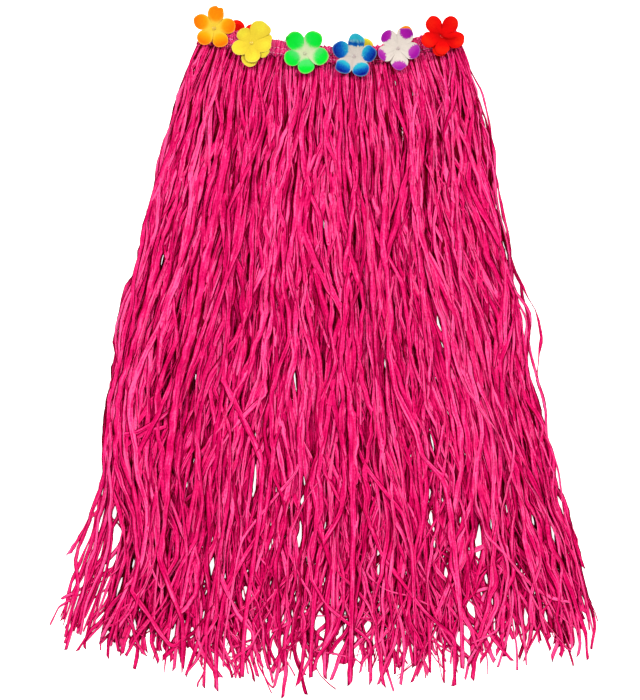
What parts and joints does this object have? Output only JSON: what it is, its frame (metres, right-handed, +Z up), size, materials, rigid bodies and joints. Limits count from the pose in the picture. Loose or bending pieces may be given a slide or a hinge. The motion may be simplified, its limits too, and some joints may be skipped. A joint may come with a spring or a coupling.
{
  "type": "raffia grass skirt",
  "caption": "Hot pink raffia grass skirt with a garland of cloth flowers round its gathered waistband, laid flat front up.",
  "frame": {"origin": "middle of the laid-out skirt's outline, on the surface it lies on", "axes": "+Y from the hem to the waist, +X to the right of the front as it is looked at, +Z up out of the front"},
  "size_m": [0.682, 0.8634, 0.0183],
  "materials": {
    "raffia": "hot pink paper raffia, creased lengthwise, soft sheen",
    "orange_cloth": "stiffened cloth, yellow middle shading to orange tips",
    "yellow_cloth": "stiffened cloth, plain lemon yellow, crumpled",
    "green_cloth": "stiffened cloth, cream middle, bright green tips, pale cut rim",
    "blue_cloth": "stiffened cloth, cream middle, cyan band and deep blue tips",
    "purple_cloth": "stiffened cloth, cream middle, purple tips",
    "red_cloth": "stiffened cloth, plain bright red, slight sheen",
    "clear_stud": "small translucent plastic stud"
  },
  "bodies": {
    "root": {"raffia_back": "raffia", "raffia_front": "raffia", "waistband_back": "raffia", "waistband_front": "raffia", "flower_yellow_under": "yellow_cloth", "flower_red_under": "red_cloth", "flower_orange_front": "orange_cloth", "stud_orange_front": "clear_stud", "flower_yellow_front": "yellow_cloth", "stud_yellow_front": "clear_stud", "flower_green_front": "green_cloth", "stud_green_front": "clear_stud", "flower_blue_front": "blue_cloth", "stud_blue_front": "clear_stud", "flower_purple_front": "purple_cloth", "stud_purple_front": "clear_stud", "flower_red_front": "red_cloth", "stud_red_front": "clear_stud", "flower_orange_back": "orange_cloth", "stud_orange_back": "clear_stud", "flower_yellow_back": "yellow_cloth", "stud_yellow_back": "clear_stud", "flower_green_back": "green_cloth", "stud_green_back": "clear_stud", "flower_blue_back": "blue_cloth", "stud_blue_back": "clear_stud", "flower_purple_back": "purple_cloth", "stud_purple_back": "clear_stud", "flower_red_back": "red_cloth", "stud_red_back": "clear_stud"}
  },
  "joints": []
}
